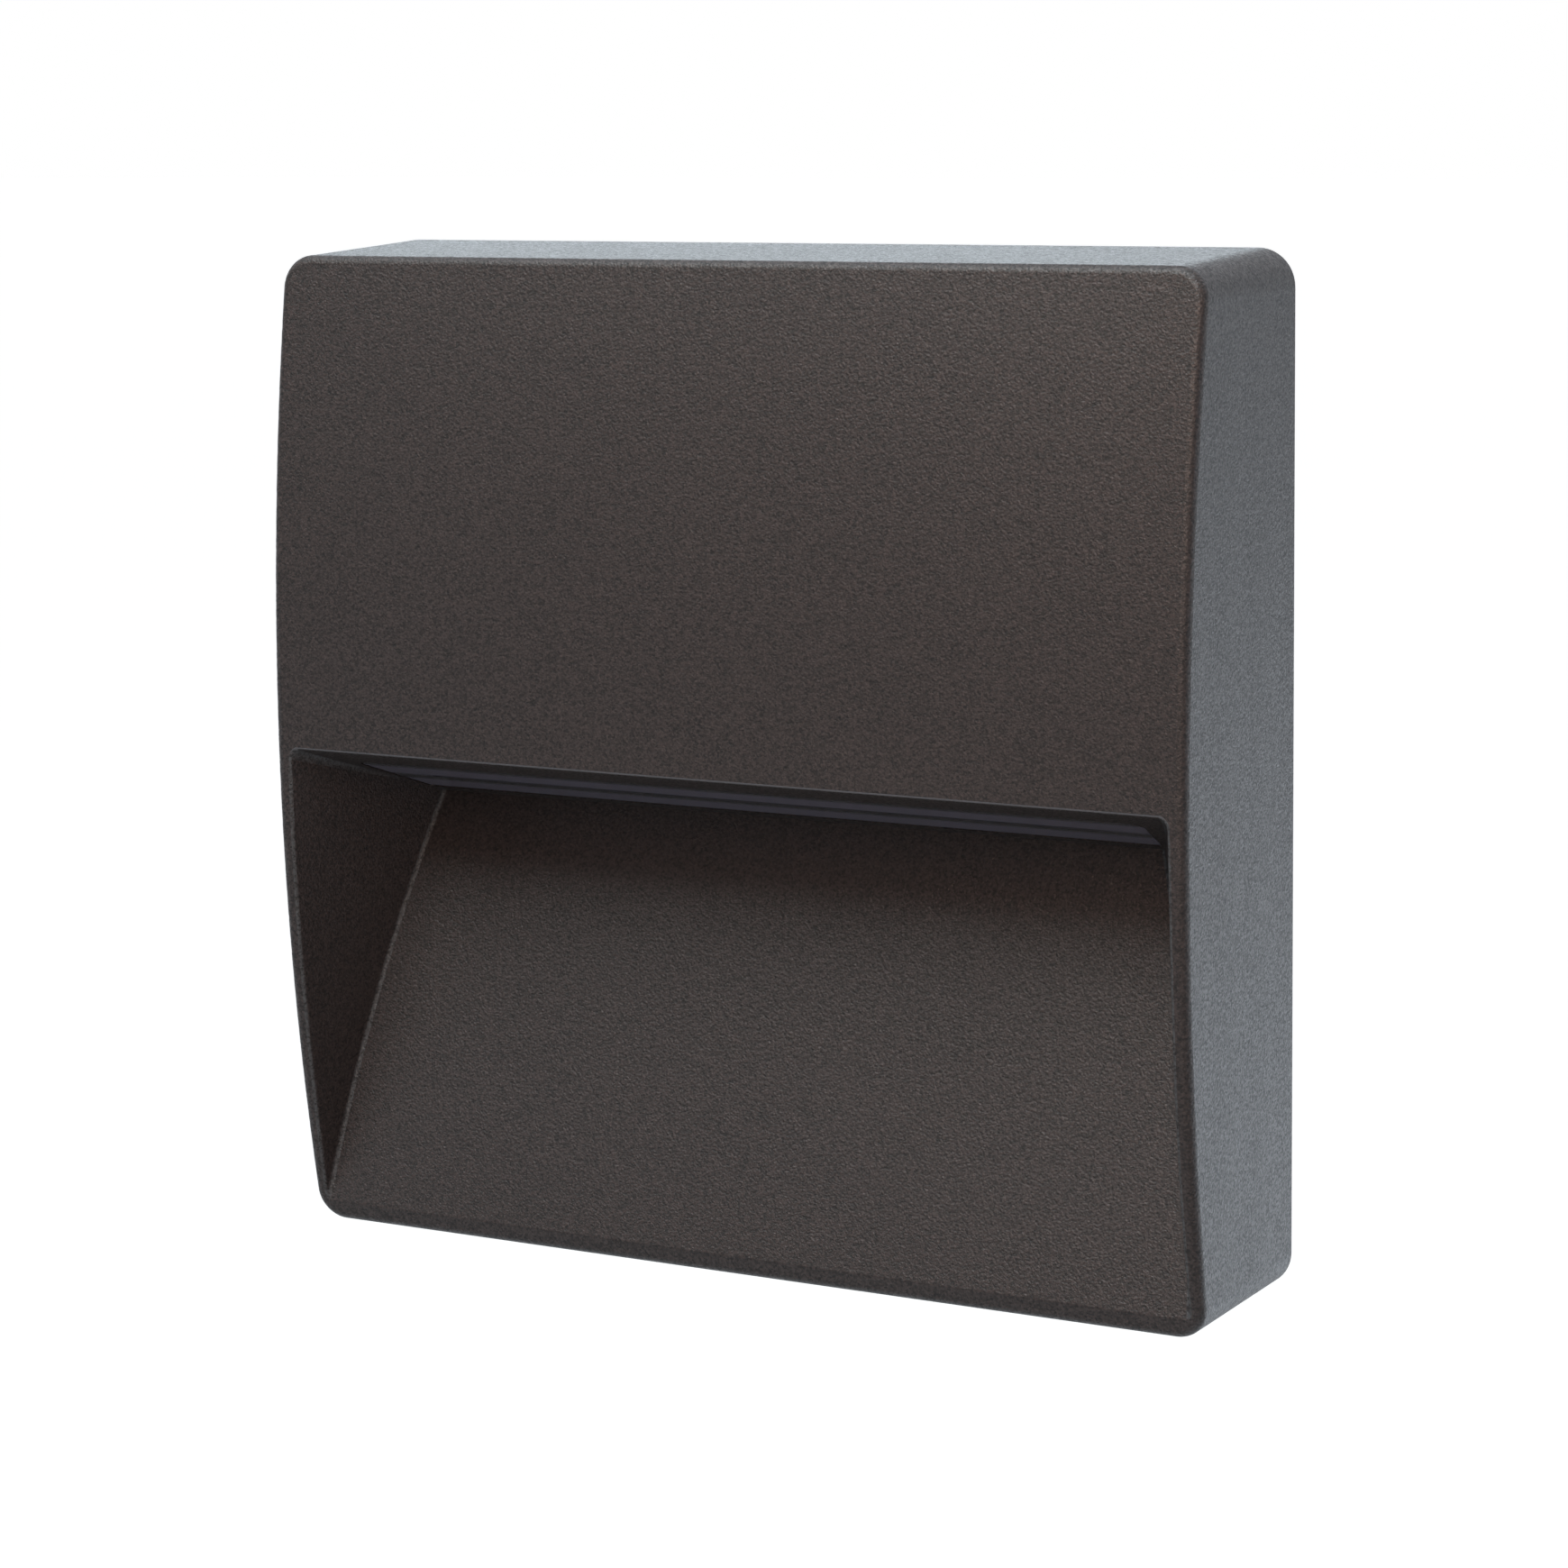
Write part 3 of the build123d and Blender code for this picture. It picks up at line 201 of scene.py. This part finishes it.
SCREW_HEAD_CROWN = 0.9 * MILLIMETRE
SCREW_DRIVE_DEPTH = 1.1 * MILLIMETRE
SCREW_TIP = 0.5 * MILLIMETRE
SCREW_APART = 6 * MILLIMETRE
SCREW_SHARP_ANGLE = math.radians(35)
CROWN_ANGLES = [math.radians(angle) for angle in (0, 20, 40, 60, 80)]

# Shares of a screw head's radius, and of its drive's mouth at the drive's floor
HEAD_FLAT = 0.72
DRIVE_REACH = dict(cross=0.55, slot=0.68)
DRIVE_HALF_WIDTH = 0.14
DRIVE_FLOOR = 0.7


def socket_set(node, **values):
    """Sets a node's inputs, named with underscores for spaces."""
    for name, value in values.items():
        node.inputs[name.replace("_", " ")].default_value = value


def new_material(name):
    """A material with its shader and a shared coordinate in metres, in the part's own frame."""
    material = bpy.data.materials.new(name)
    material.use_nodes = True
    shader = material.node_tree.nodes["Principled BSDF"]
    place = material.node_tree.nodes.new("ShaderNodeTexCoord")
    return material, material.node_tree, shader, place.outputs["Object"]


def noise(tree, place, grain, detail=2.0, stretch=None):
    """Noise with grains about that many metres wide, drawn out where a stretch is given."""
    if stretch:
        mapping = tree.nodes.new("ShaderNodeMapping")
        mapping.inputs["Scale"].default_value = stretch
        tree.links.new(place, mapping.inputs["Vector"])
        place = mapping.outputs["Vector"]
    node = tree.nodes.new("ShaderNodeTexNoise")
    socket_set(node, Scale=1 / grain, Detail=detail, Roughness=NOISE_ROUGHNESS)
    tree.links.new(place, node.inputs["Vector"])
    return node.outputs["Fac"]


def cells(tree, place, grain):
    """Rounded pebbles about that many metres across, highest in the middle of each."""
    node = tree.nodes.new("ShaderNodeTexVoronoi")
    node.feature = "SMOOTH_F1"
    socket_set(node, Scale=1 / grain, Smoothness=PEBBLE_SMOOTHNESS)
    tree.links.new(place, node.inputs["Vector"])
    return remap(tree, node.outputs["Distance"], (0.0, PEBBLE_REACH), FALLING)


def speckles(tree, place, grain):
    """Grains about that many metres across, each with its own random value from 0 to 1."""
    node = tree.nodes.new("ShaderNodeTexVoronoi")
    node.inputs["Scale"].default_value = 1 / grain
    tree.links.new(place, node.inputs["Vector"])
    channels = tree.nodes.new("ShaderNodeSeparateColor")
    tree.links.new(node.outputs["Color"], channels.inputs["Color"])
    return channels.outputs["Red"]


def remap(tree, value, source, target):
    """A value carried over from one range to another, and held at its ends."""
    node = tree.nodes.new("ShaderNodeMapRange")
    node.inputs["From Min"].default_value = source[0]
    node.inputs["From Max"].default_value = source[1]
    node.inputs["To Min"].default_value = target[0]
    node.inputs["To Max"].default_value = target[1]
    tree.links.new(value, node.inputs["Value"])
    return node.outputs["Result"]


def combine(tree, operation, first, second):
    """The result of a sum on two values, each a number or another node's output."""
    node = tree.nodes.new("ShaderNodeMath")
    node.operation = operation
    for value, entry in zip((first, second), node.inputs):
        if isinstance(value, (int, float)):
            entry.default_value = value
        else:
            tree.links.new(value, entry)
    return node.outputs["Value"]


def product(tree, first, second):
    return combine(tree, "MULTIPLY", first, second)


def blend_colours(tree, factor, first, second):
    """A colour between two others, each a tuple or another node's output."""
    node = tree.nodes.new("ShaderNodeMix")
    node.data_type = "RGBA"
    tree.links.new(factor, node.inputs["Factor"])
    colour_inputs = node.inputs[6:8]
    for value, entry in zip((first, second), colour_inputs):
        if isinstance(value, tuple):
            entry.default_value = (*value, 1.0)
        else:
            tree.links.new(value, entry)
    colour_output = node.outputs[2]
    return colour_output


def bump(tree, shader, height, depth, strength=1.0):
    """Tilts the shading by a height from 0 to 1 that stands for that many metres."""
    node = tree.nodes.new("ShaderNodeBump")
    socket_set(node, Strength=strength, Distance=depth)
    tree.links.new(height, node.inputs["Height"])
    tree.links.new(node.outputs["Normal"], shader.inputs["Normal"])


def shaded(colour, share):
    return tuple(channel * share for channel in colour)


def axis_of(tree, vector, axis):
    axes = tree.nodes.new("ShaderNodeSeparateXYZ")
    tree.links.new(vector, axes.inputs["Vector"])
    return axes.outputs[axis]


def band(tree, value, low, high, soft):
    """1 where a value lies between two limits, fading to 0 over a soft width at each."""
    rise = remap(tree, value, (low - soft, low), RISING)
    return product(tree, rise, remap(tree, value, (high, high + soft), FALLING))


def recess_front(tree, place):
    """1 at the recess's depths, fading to 0 behind them."""
    return remap(tree, axis_of(tree, place, "Y"), RECESS_REACH, FALLING)


def recess_flanks(tree, place):
    """1 on the rounded edges and creases at the sides of the recess that face the middle of the light,
    where a highlight is painted.
    """
    normal = place.node.outputs["Normal"]
    side = combine(tree, "SIGN", axis_of(tree, place, "X"), 0.0)
    inward = product(tree, product(tree, axis_of(tree, normal, "X"), side), -1.0)
    return product(tree, band(tree, inward, **FLANK_TURN), recess_front(tree, place))


def recess_lip(tree, place):
    """1 on the rounded edge above the recess, where it turns from the front to face down, and where a
    highlight is painted.
    """
    normal = place.node.outputs["Normal"]
    downward = product(tree, axis_of(tree, normal, "Z"), -1.0)
    turned = band(tree, downward, **LIP_TURN)
    straight = band(tree, axis_of(tree, normal, "X"), **LIP_STRAIGHT)
    near_lip = band(tree, axis_of(tree, place, "Z"), **LIP_HEIGHTS)
    edge = product(tree, turned, straight)
    return product(tree, edge, product(tree, near_lip, recess_front(tree, place)))


def powder_coat(name, colour):
    """Fine textured powder coat: pebbled grains, each a little lighter or darker than the next, with
    highlights painted on the recess's edges and lip.
    """
    material, tree, shader, place = new_material(name)
    pebbles = cells(tree, place, PEBBLE_GRAIN)
    fine = noise(tree, place, FINE_GRAIN)
    glints = speckles(tree, place, GLINT_GRAIN)
    height = combine(tree, "ADD", fine, product(tree, pebbles, PEBBLE_SHARE))
    bump(tree, shader, height, COAT_DEPTH)
    relief = remap(tree, height, COAT_HEIGHTS, (0.0, 1 - GLINT_SHARE))
    share = combine(tree, "ADD", relief, product(tree, glints, GLINT_SHARE))
    dark, light = (shaded(colour, tone) for tone in COAT_TONES)
    coat = blend_colours(tree, share, dark, light)
    # Painted highlight: a lighter colour on the recess's side edges and creases
    painted_highlight = product(tree, recess_flanks(tree, place), glints)
    coat = blend_colours(tree, painted_highlight, coat, PAINTED_EDGE_HIGHLIGHT)
    # Painted highlight: a lighter colour on the lip's rounded edge
    coat = blend_colours(tree, recess_lip(tree, place), coat, PAINTED_LIP_HIGHLIGHT)
    tree.links.new(coat, shader.inputs["Base Color"])
    tree.links.new(remap(tree, glints, RISING, COAT_ROUGHNESS), shader.inputs["Roughness"])
    shader.inputs["Specular IOR Level"].default_value = COAT_SPECULAR
    return material


def satin_diffuser(name, colour):
    """Frosted plastic, with a painted reflection in two lighter bands beside the groove along its middle,
    and painted shade in the groove.
    """
    material, tree, shader, place = new_material(name)
    frost = noise(tree, place, FROST_GRAIN)
    bump(tree, shader, frost, FROST_DEPTH, FROST_STRENGTH)
    low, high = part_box("lens")
    # Painted reflection in lighter bands along the lens, and painted shade at its groove
    from_groove = combine(tree, "SUBTRACT", axis_of(tree, place, "Y"), (low.y + high.y) / 2)
    bands = combine(tree, "PINGPONG", from_groove, LENS_REFLECTION_SPACING)
    share = remap(tree, bands, LENS_REFLECTION_EDGE, RISING)
    tone = blend_colours(tree, share, shaded(colour, LENS_GROOVE_SHADE), LENS_REFLECTION_BAND)
    tree.links.new(tone, shader.inputs["Base Color"])
    tree.links.new(remap(tree, frost, NOISE_SPAN, LENS_ROUGHNESS), shader.inputs["Roughness"])
    return material


def mottled(name, colour, roughness, grain, depth, spread=0.1, metallic=0.0, stretch=None):
    """A surface whose grain shows in its colour, its gloss and its relief."""
    material, tree, shader, place = new_material(name)
    shader.inputs["Metallic"].default_value = metallic
    fine = noise(tree, place, grain * MILLIMETRE, MOTTLE_DETAIL, stretch)
    broad = noise(tree, place, MOTTLE_BREADTH * grain * MILLIMETRE)
    bump(tree, shader, fine, depth * MILLIMETRE, MOTTLE_STRENGTH)
    mean = product(tree, combine(tree, "ADD", fine, broad), 0.5)
    share = remap(tree, mean, NOISE_SPAN, RISING)
    tone = blend_colours(tree, share, shaded(colour, 1 - spread), shaded(colour, 1 + spread))
    tree.links.new(tone, shader.inputs["Base Color"])
    gloss = remap(tree, broad, NOISE_SPAN, (roughness - GLOSS_SPREAD, roughness + GLOSS_SPREAD))
    tree.links.new(gloss, shader.inputs["Roughness"])
    return material


def striped_insulation(name, colour, stripe):
    """Wire insulation in two colours, in slanting stripes."""
    material, tree, shader, place = new_material(name)
    across = combine(tree, "ADD", axis_of(tree, place, "X"), axis_of(tree, place, "Z"))
    stripes = combine(tree, "PINGPONG", across, STRIPE_WIDTH)
    share = remap(tree, stripes, STRIPE_EDGE, RISING)
    tree.links.new(blend_colours(tree, share, colour, stripe), shader.inputs["Base Color"])
    sheen = remap(tree, noise(tree, place, SHEEN_GRAIN), NOISE_SPAN, SHEEN_ROUGHNESS)
    tree.links.new(sheen, shader.inputs["Roughness"])
    return material


def base_colour(slot):
    """A material slot's colour in the record."""
    for entry in frame["record"]["materials"]:
        if entry["slot"] == slot:
            return tuple(entry["base_color"][:3])


def slot_materials():
    """One finish for each of the record's material slots."""
    made = {
        "powder_coat": powder_coat("powder_coat_painted_highlights", base_colour("powder_coat")),
        "satin_diffuser": satin_diffuser("satin_diffuser_painted_reflection", base_colour("satin_diffuser")),
        "green_yellow_pvc": striped_insulation("earth_insulation", EARTH_GREEN, EARTH_YELLOW),
    }
    for slot, facts in FINISHES.items():
        made[slot] = mottled(f"{slot}_finish", base_colour(slot), **facts)
    return made


def dress_nodes(finishes):
    """Gives each node the finish of its material slot."""
    for part in frame["record"]["subparts"]:
        piece = frame["nodes"][part["node"]]
        for entry in piece.material_slots:
            entry.material = finishes[part["material_slot"]]


def drive_outline(drive, head):
    """The mouth of a screw's drive, as points around the middle of its head."""
    reach = DRIVE_REACH[drive] * head
    half = DRIVE_HALF_WIDTH * head
    if drive == "slot":
        return [(reach, -half), (reach, half), (-reach, half), (-reach, -half)]
    arm = [(reach, -half), (reach, half), (half, half)]
    quarter_turns = [(1, 0), (0, 1), (-1, 0), (0, -1)]
    return [(x * c - y * s, x * s + y * c) for c, s in quarter_turns for x, y in arm]


def screw_profile(low, high, shank, head):
    """Radius and height along a screw, from its tip up to the flat of its head."""
    seat = high - SCREW_HEAD_HEIGHT
    foot = high - SCREW_HEAD_CROWN
    flat = HEAD_FLAT * head
    rim = head - flat
    crown = [(flat + rim * math.cos(a), foot + SCREW_HEAD_CROWN * math.sin(a)) for a in CROWN_ANGLES]
    shaft = [(shank - SCREW_TIP, low), (shank, low + SCREW_TIP), (shank, seat)]
    return [*shaft, (head, seat), *crown, (flat, high)]


def add_screw(mesh, turn, low, high, shank, head, drive):
    """Adds a screw along the Z axis of a turned frame: tip, shank, crowned head and its drive."""
    angles = [math.tau * step / SCREW_SIDES for step in range(SCREW_SIDES)]
    rings = []
    for radius, along in screw_profile(low, high, shank, head):
        points = [Vector((radius * math.cos(a), radius * math.sin(a), along)) for a in angles]
        rings.append([mesh.verts.new(turn @ point) for point in points])
    mesh.faces.new(rings[0])
    for lower, upper in zip(rings, rings[1:]):
        for step in range(SCREW_SIDES):
            mesh.faces.new((lower[step - 1], lower[step], upper[step], upper[step - 1]))
    outline = drive_outline(drive, head)
    mouth = [mesh.verts.new(turn @ Vector((x, y, high))) for x, y in outline]
    deep = high - SCREW_DRIVE_DEPTH
    bottom = [mesh.verts.new(turn @ Vector((DRIVE_FLOOR * x, DRIVE_FLOOR * y, deep))) for x, y in outline]
    rim = [mesh.edges.get((rings[-1][step - 1], rings[-1][step])) for step in range(SCREW_SIDES)]
    rim += [mesh.edges.new((mouth[step - 1], mouth[step])) for step in range(len(mouth))]
    bmesh.ops.triangle_fill(mesh, edges=rim, use_beauty=True)
    for step in range(len(mouth)):
        mesh.faces.new((mouth[step - 1], mouth[step], bottom[step], bottom[step - 1]))
    mesh.faces.new(bottom)


def screw_groups(points):
    """Sorts points in a screw's frame into one list for each screw, by their place across its axis."""
    groups = []
    for point in points:
        for group in groups:
            if (group[0].xy - point.xy).length < SCREW_APART:
                group.append(point)
                break
        else:
            groups.append([point])
    return groups


def screws(node, finish, body, facing, drive):
    """Screws with a drive in their heads, in place of a node's plain ones."""
    turn = Vector(facing).to_track_quat("Z", "Y").to_matrix().to_4x4()
    back = turn.inverted()
    points = [back @ vertex.co for vertex in frame["nodes"][node].data.vertices]
    mesh = bmesh.new()
    for group in screw_groups(points):
        low, high = (pick(point.z for point in group) for pick in (min, max))
        left, right = (pick(point.x for point in group) for pick in (min, max))
        near, far = (pick(point.y for point in group) for pick in (min, max))
        middle = Vector(((left + right) / 2, (near + far) / 2, 0))
        shank = max((point.xy - middle.xy).length for point in group if point.z < low + SCREW_TIP)
        head = (right - left) / 2
        add_screw(mesh, turn @ Matrix.Translation(middle), low, high, shank, head, drive)
    bmesh.ops.recalc_face_normals(mesh, faces=mesh.faces)
    data = bpy.data.meshes.new(f"{node}_detailed")
    mesh.to_mesh(data)
    mesh.free()
    data.shade_smooth()
    data.set_sharp_from_angle(angle=SCREW_SHARP_ANGLE)
    data.materials.append(finish)
    piece = bpy.data.objects.new(f"{node}_detailed", data)
    bpy.context.scene.collection.objects.link(piece)
    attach(piece, body)
    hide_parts(node)


def dress_screws(finishes):
    """Puts detailed screws in place of each group of plain ones."""
    for part in frame["record"]["subparts"]:
        if part["node"] in SCREWS:
            screws(part["node"], finishes[part["material_slot"]], **SCREWS[part["node"]])


def ray_kinds(tree):
    """Whether a ray comes straight from the camera, and whether a shiny or clear surface sent it."""
    path = tree.nodes.new("ShaderNodeLightPath")
    mirrored = combine(tree, "MAXIMUM", path.outputs["Is Glossy Ray"], path.outputs["Is Transmission Ray"])
    return path.outputs["Is Camera Ray"], mirrored


def studio_world():
    """White to the camera, and bright behind the light for what its surfaces mirror."""
    world = bpy.data.worlds.new("studio")
    bpy.context.scene.world = world
    world.use_nodes = True
    tree = world.node_tree
    background = tree.nodes["Background"]
    place = tree.nodes.new("ShaderNodeTexCoord")
    behind = axis_of(tree, place.outputs["Generated"], "Y")
    level = remap(tree, behind, WORLD_RAMP, (WORLD_FRONT, WORLD_BACK))
    camera_ray, mirrored = ray_kinds(tree)
    share = remap(tree, mirrored, RISING, (DIFFUSE_SHARE, 1.0))
    strength = combine(tree, "MAXIMUM", product(tree, level, share), camera_ray)
    tree.links.new(strength, background.inputs["Strength"])
    tree.links.new(blend_colours(tree, camera_ray, WORLD_TINT, WHITE), background.inputs["Color"])


def floor():
    """A pale floor, white to the camera and, behind the light, bright to what mirrors it."""
    low = cad_box[0].z - FLOOR_DROP
    bpy.ops.mesh.primitive_plane_add(size=FLOOR_SIZE, location=(0, 0, low))
    plane = bpy.context.object
    plane.name = "floor"
    material, tree, shader, place = new_material("floor_finish")
    shader.inputs["Base Color"].default_value = (*FLOOR_COLOUR, 1.0)
    shader.inputs["Roughness"].default_value = FLOOR_ROUGHNESS
    camera_ray, mirrored = ray_kinds(tree)
    level = remap(tree, axis_of(tree, place, "Y"), FLOOR_RAMP, (WORLD_FRONT, WORLD_BACK))
    glow = product(tree, camera_ray, FLOOR_GLOW)
    strength = combine(tree, "MAXIMUM", product(tree, level, mirrored), glow)
    tree.links.new(strength, shader.inputs["Emission Strength"])
    tint = blend_colours(tree, camera_ray, WORLD_TINT, WHITE)
    tree.links.new(tint, shader.inputs["Emission Color"])
    plane.data.materials.append(material)


def toward(azimuth, elevation):
    """The direction seen from the light at an azimuth, 0 straight in front and 90 to its +X side."""
    turn = math.radians(azimuth)
    rise = math.radians(elevation)
    return Vector((
        math.sin(turn) * math.cos(rise),
        -math.cos(turn) * math.cos(rise),
        math.sin(rise),
    ))


def softbox(name, azimuth, elevation, distance, size, power, colour):
    """A square lamp that looks at the middle of the light's back, and that the camera doesn't see."""
    lamp = bpy.data.lights.new(name, "AREA")
    lamp.shape = "SQUARE"
    lamp.size = size
    lamp.energy = power
    lamp.color = colour
    holder = bpy.data.objects.new(name, lamp)
    place = toward(azimuth, elevation) * distance
    holder.location = place
    holder.rotation_euler = (-place).to_track_quat("-Z", "Y").to_euler()
    holder.visible_camera = False
    bpy.context.scene.collection.objects.link(holder)


def studio_lamps():
    for name, facts in LAMPS.items():
        softbox(name, **facts)


def camera():
    """The camera at its eye point, turned by its azimuth and elevation and then rolled."""
    back = toward(CAMERA_AZIMUTH, CAMERA_ELEVATION)
    azimuth = math.radians(CAMERA_AZIMUTH)
    roll = math.radians(CAMERA_ROLL)
    level_right = Vector((math.cos(azimuth), math.sin(azimuth), 0))
    level_up = back.cross(level_right)
    right = math.cos(roll) * level_right - math.sin(roll) * level_up
    up = math.sin(roll) * level_right + math.cos(roll) * level_up
    data = bpy.data.cameras.new("camera")
    data.sensor_width = SENSOR_MM
    data.lens = FOCAL_PX * SENSOR_MM / IMAGE_SIDE_PX
    holder = bpy.data.objects.new("camera", data)
    turn = Matrix((right, up, back)).transposed().to_4x4()
    holder.matrix_world = Matrix.Translation(CAMERA_EYE) @ turn
    bpy.context.scene.collection.objects.link(holder)
    bpy.context.scene.camera = holder


finishes = slot_materials()
dress_nodes(finishes)
dress_screws(finishes)
studio_world()
floor()
studio_lamps()
camera()
bpy.context.scene.view_settings.view_transform = "Standard"
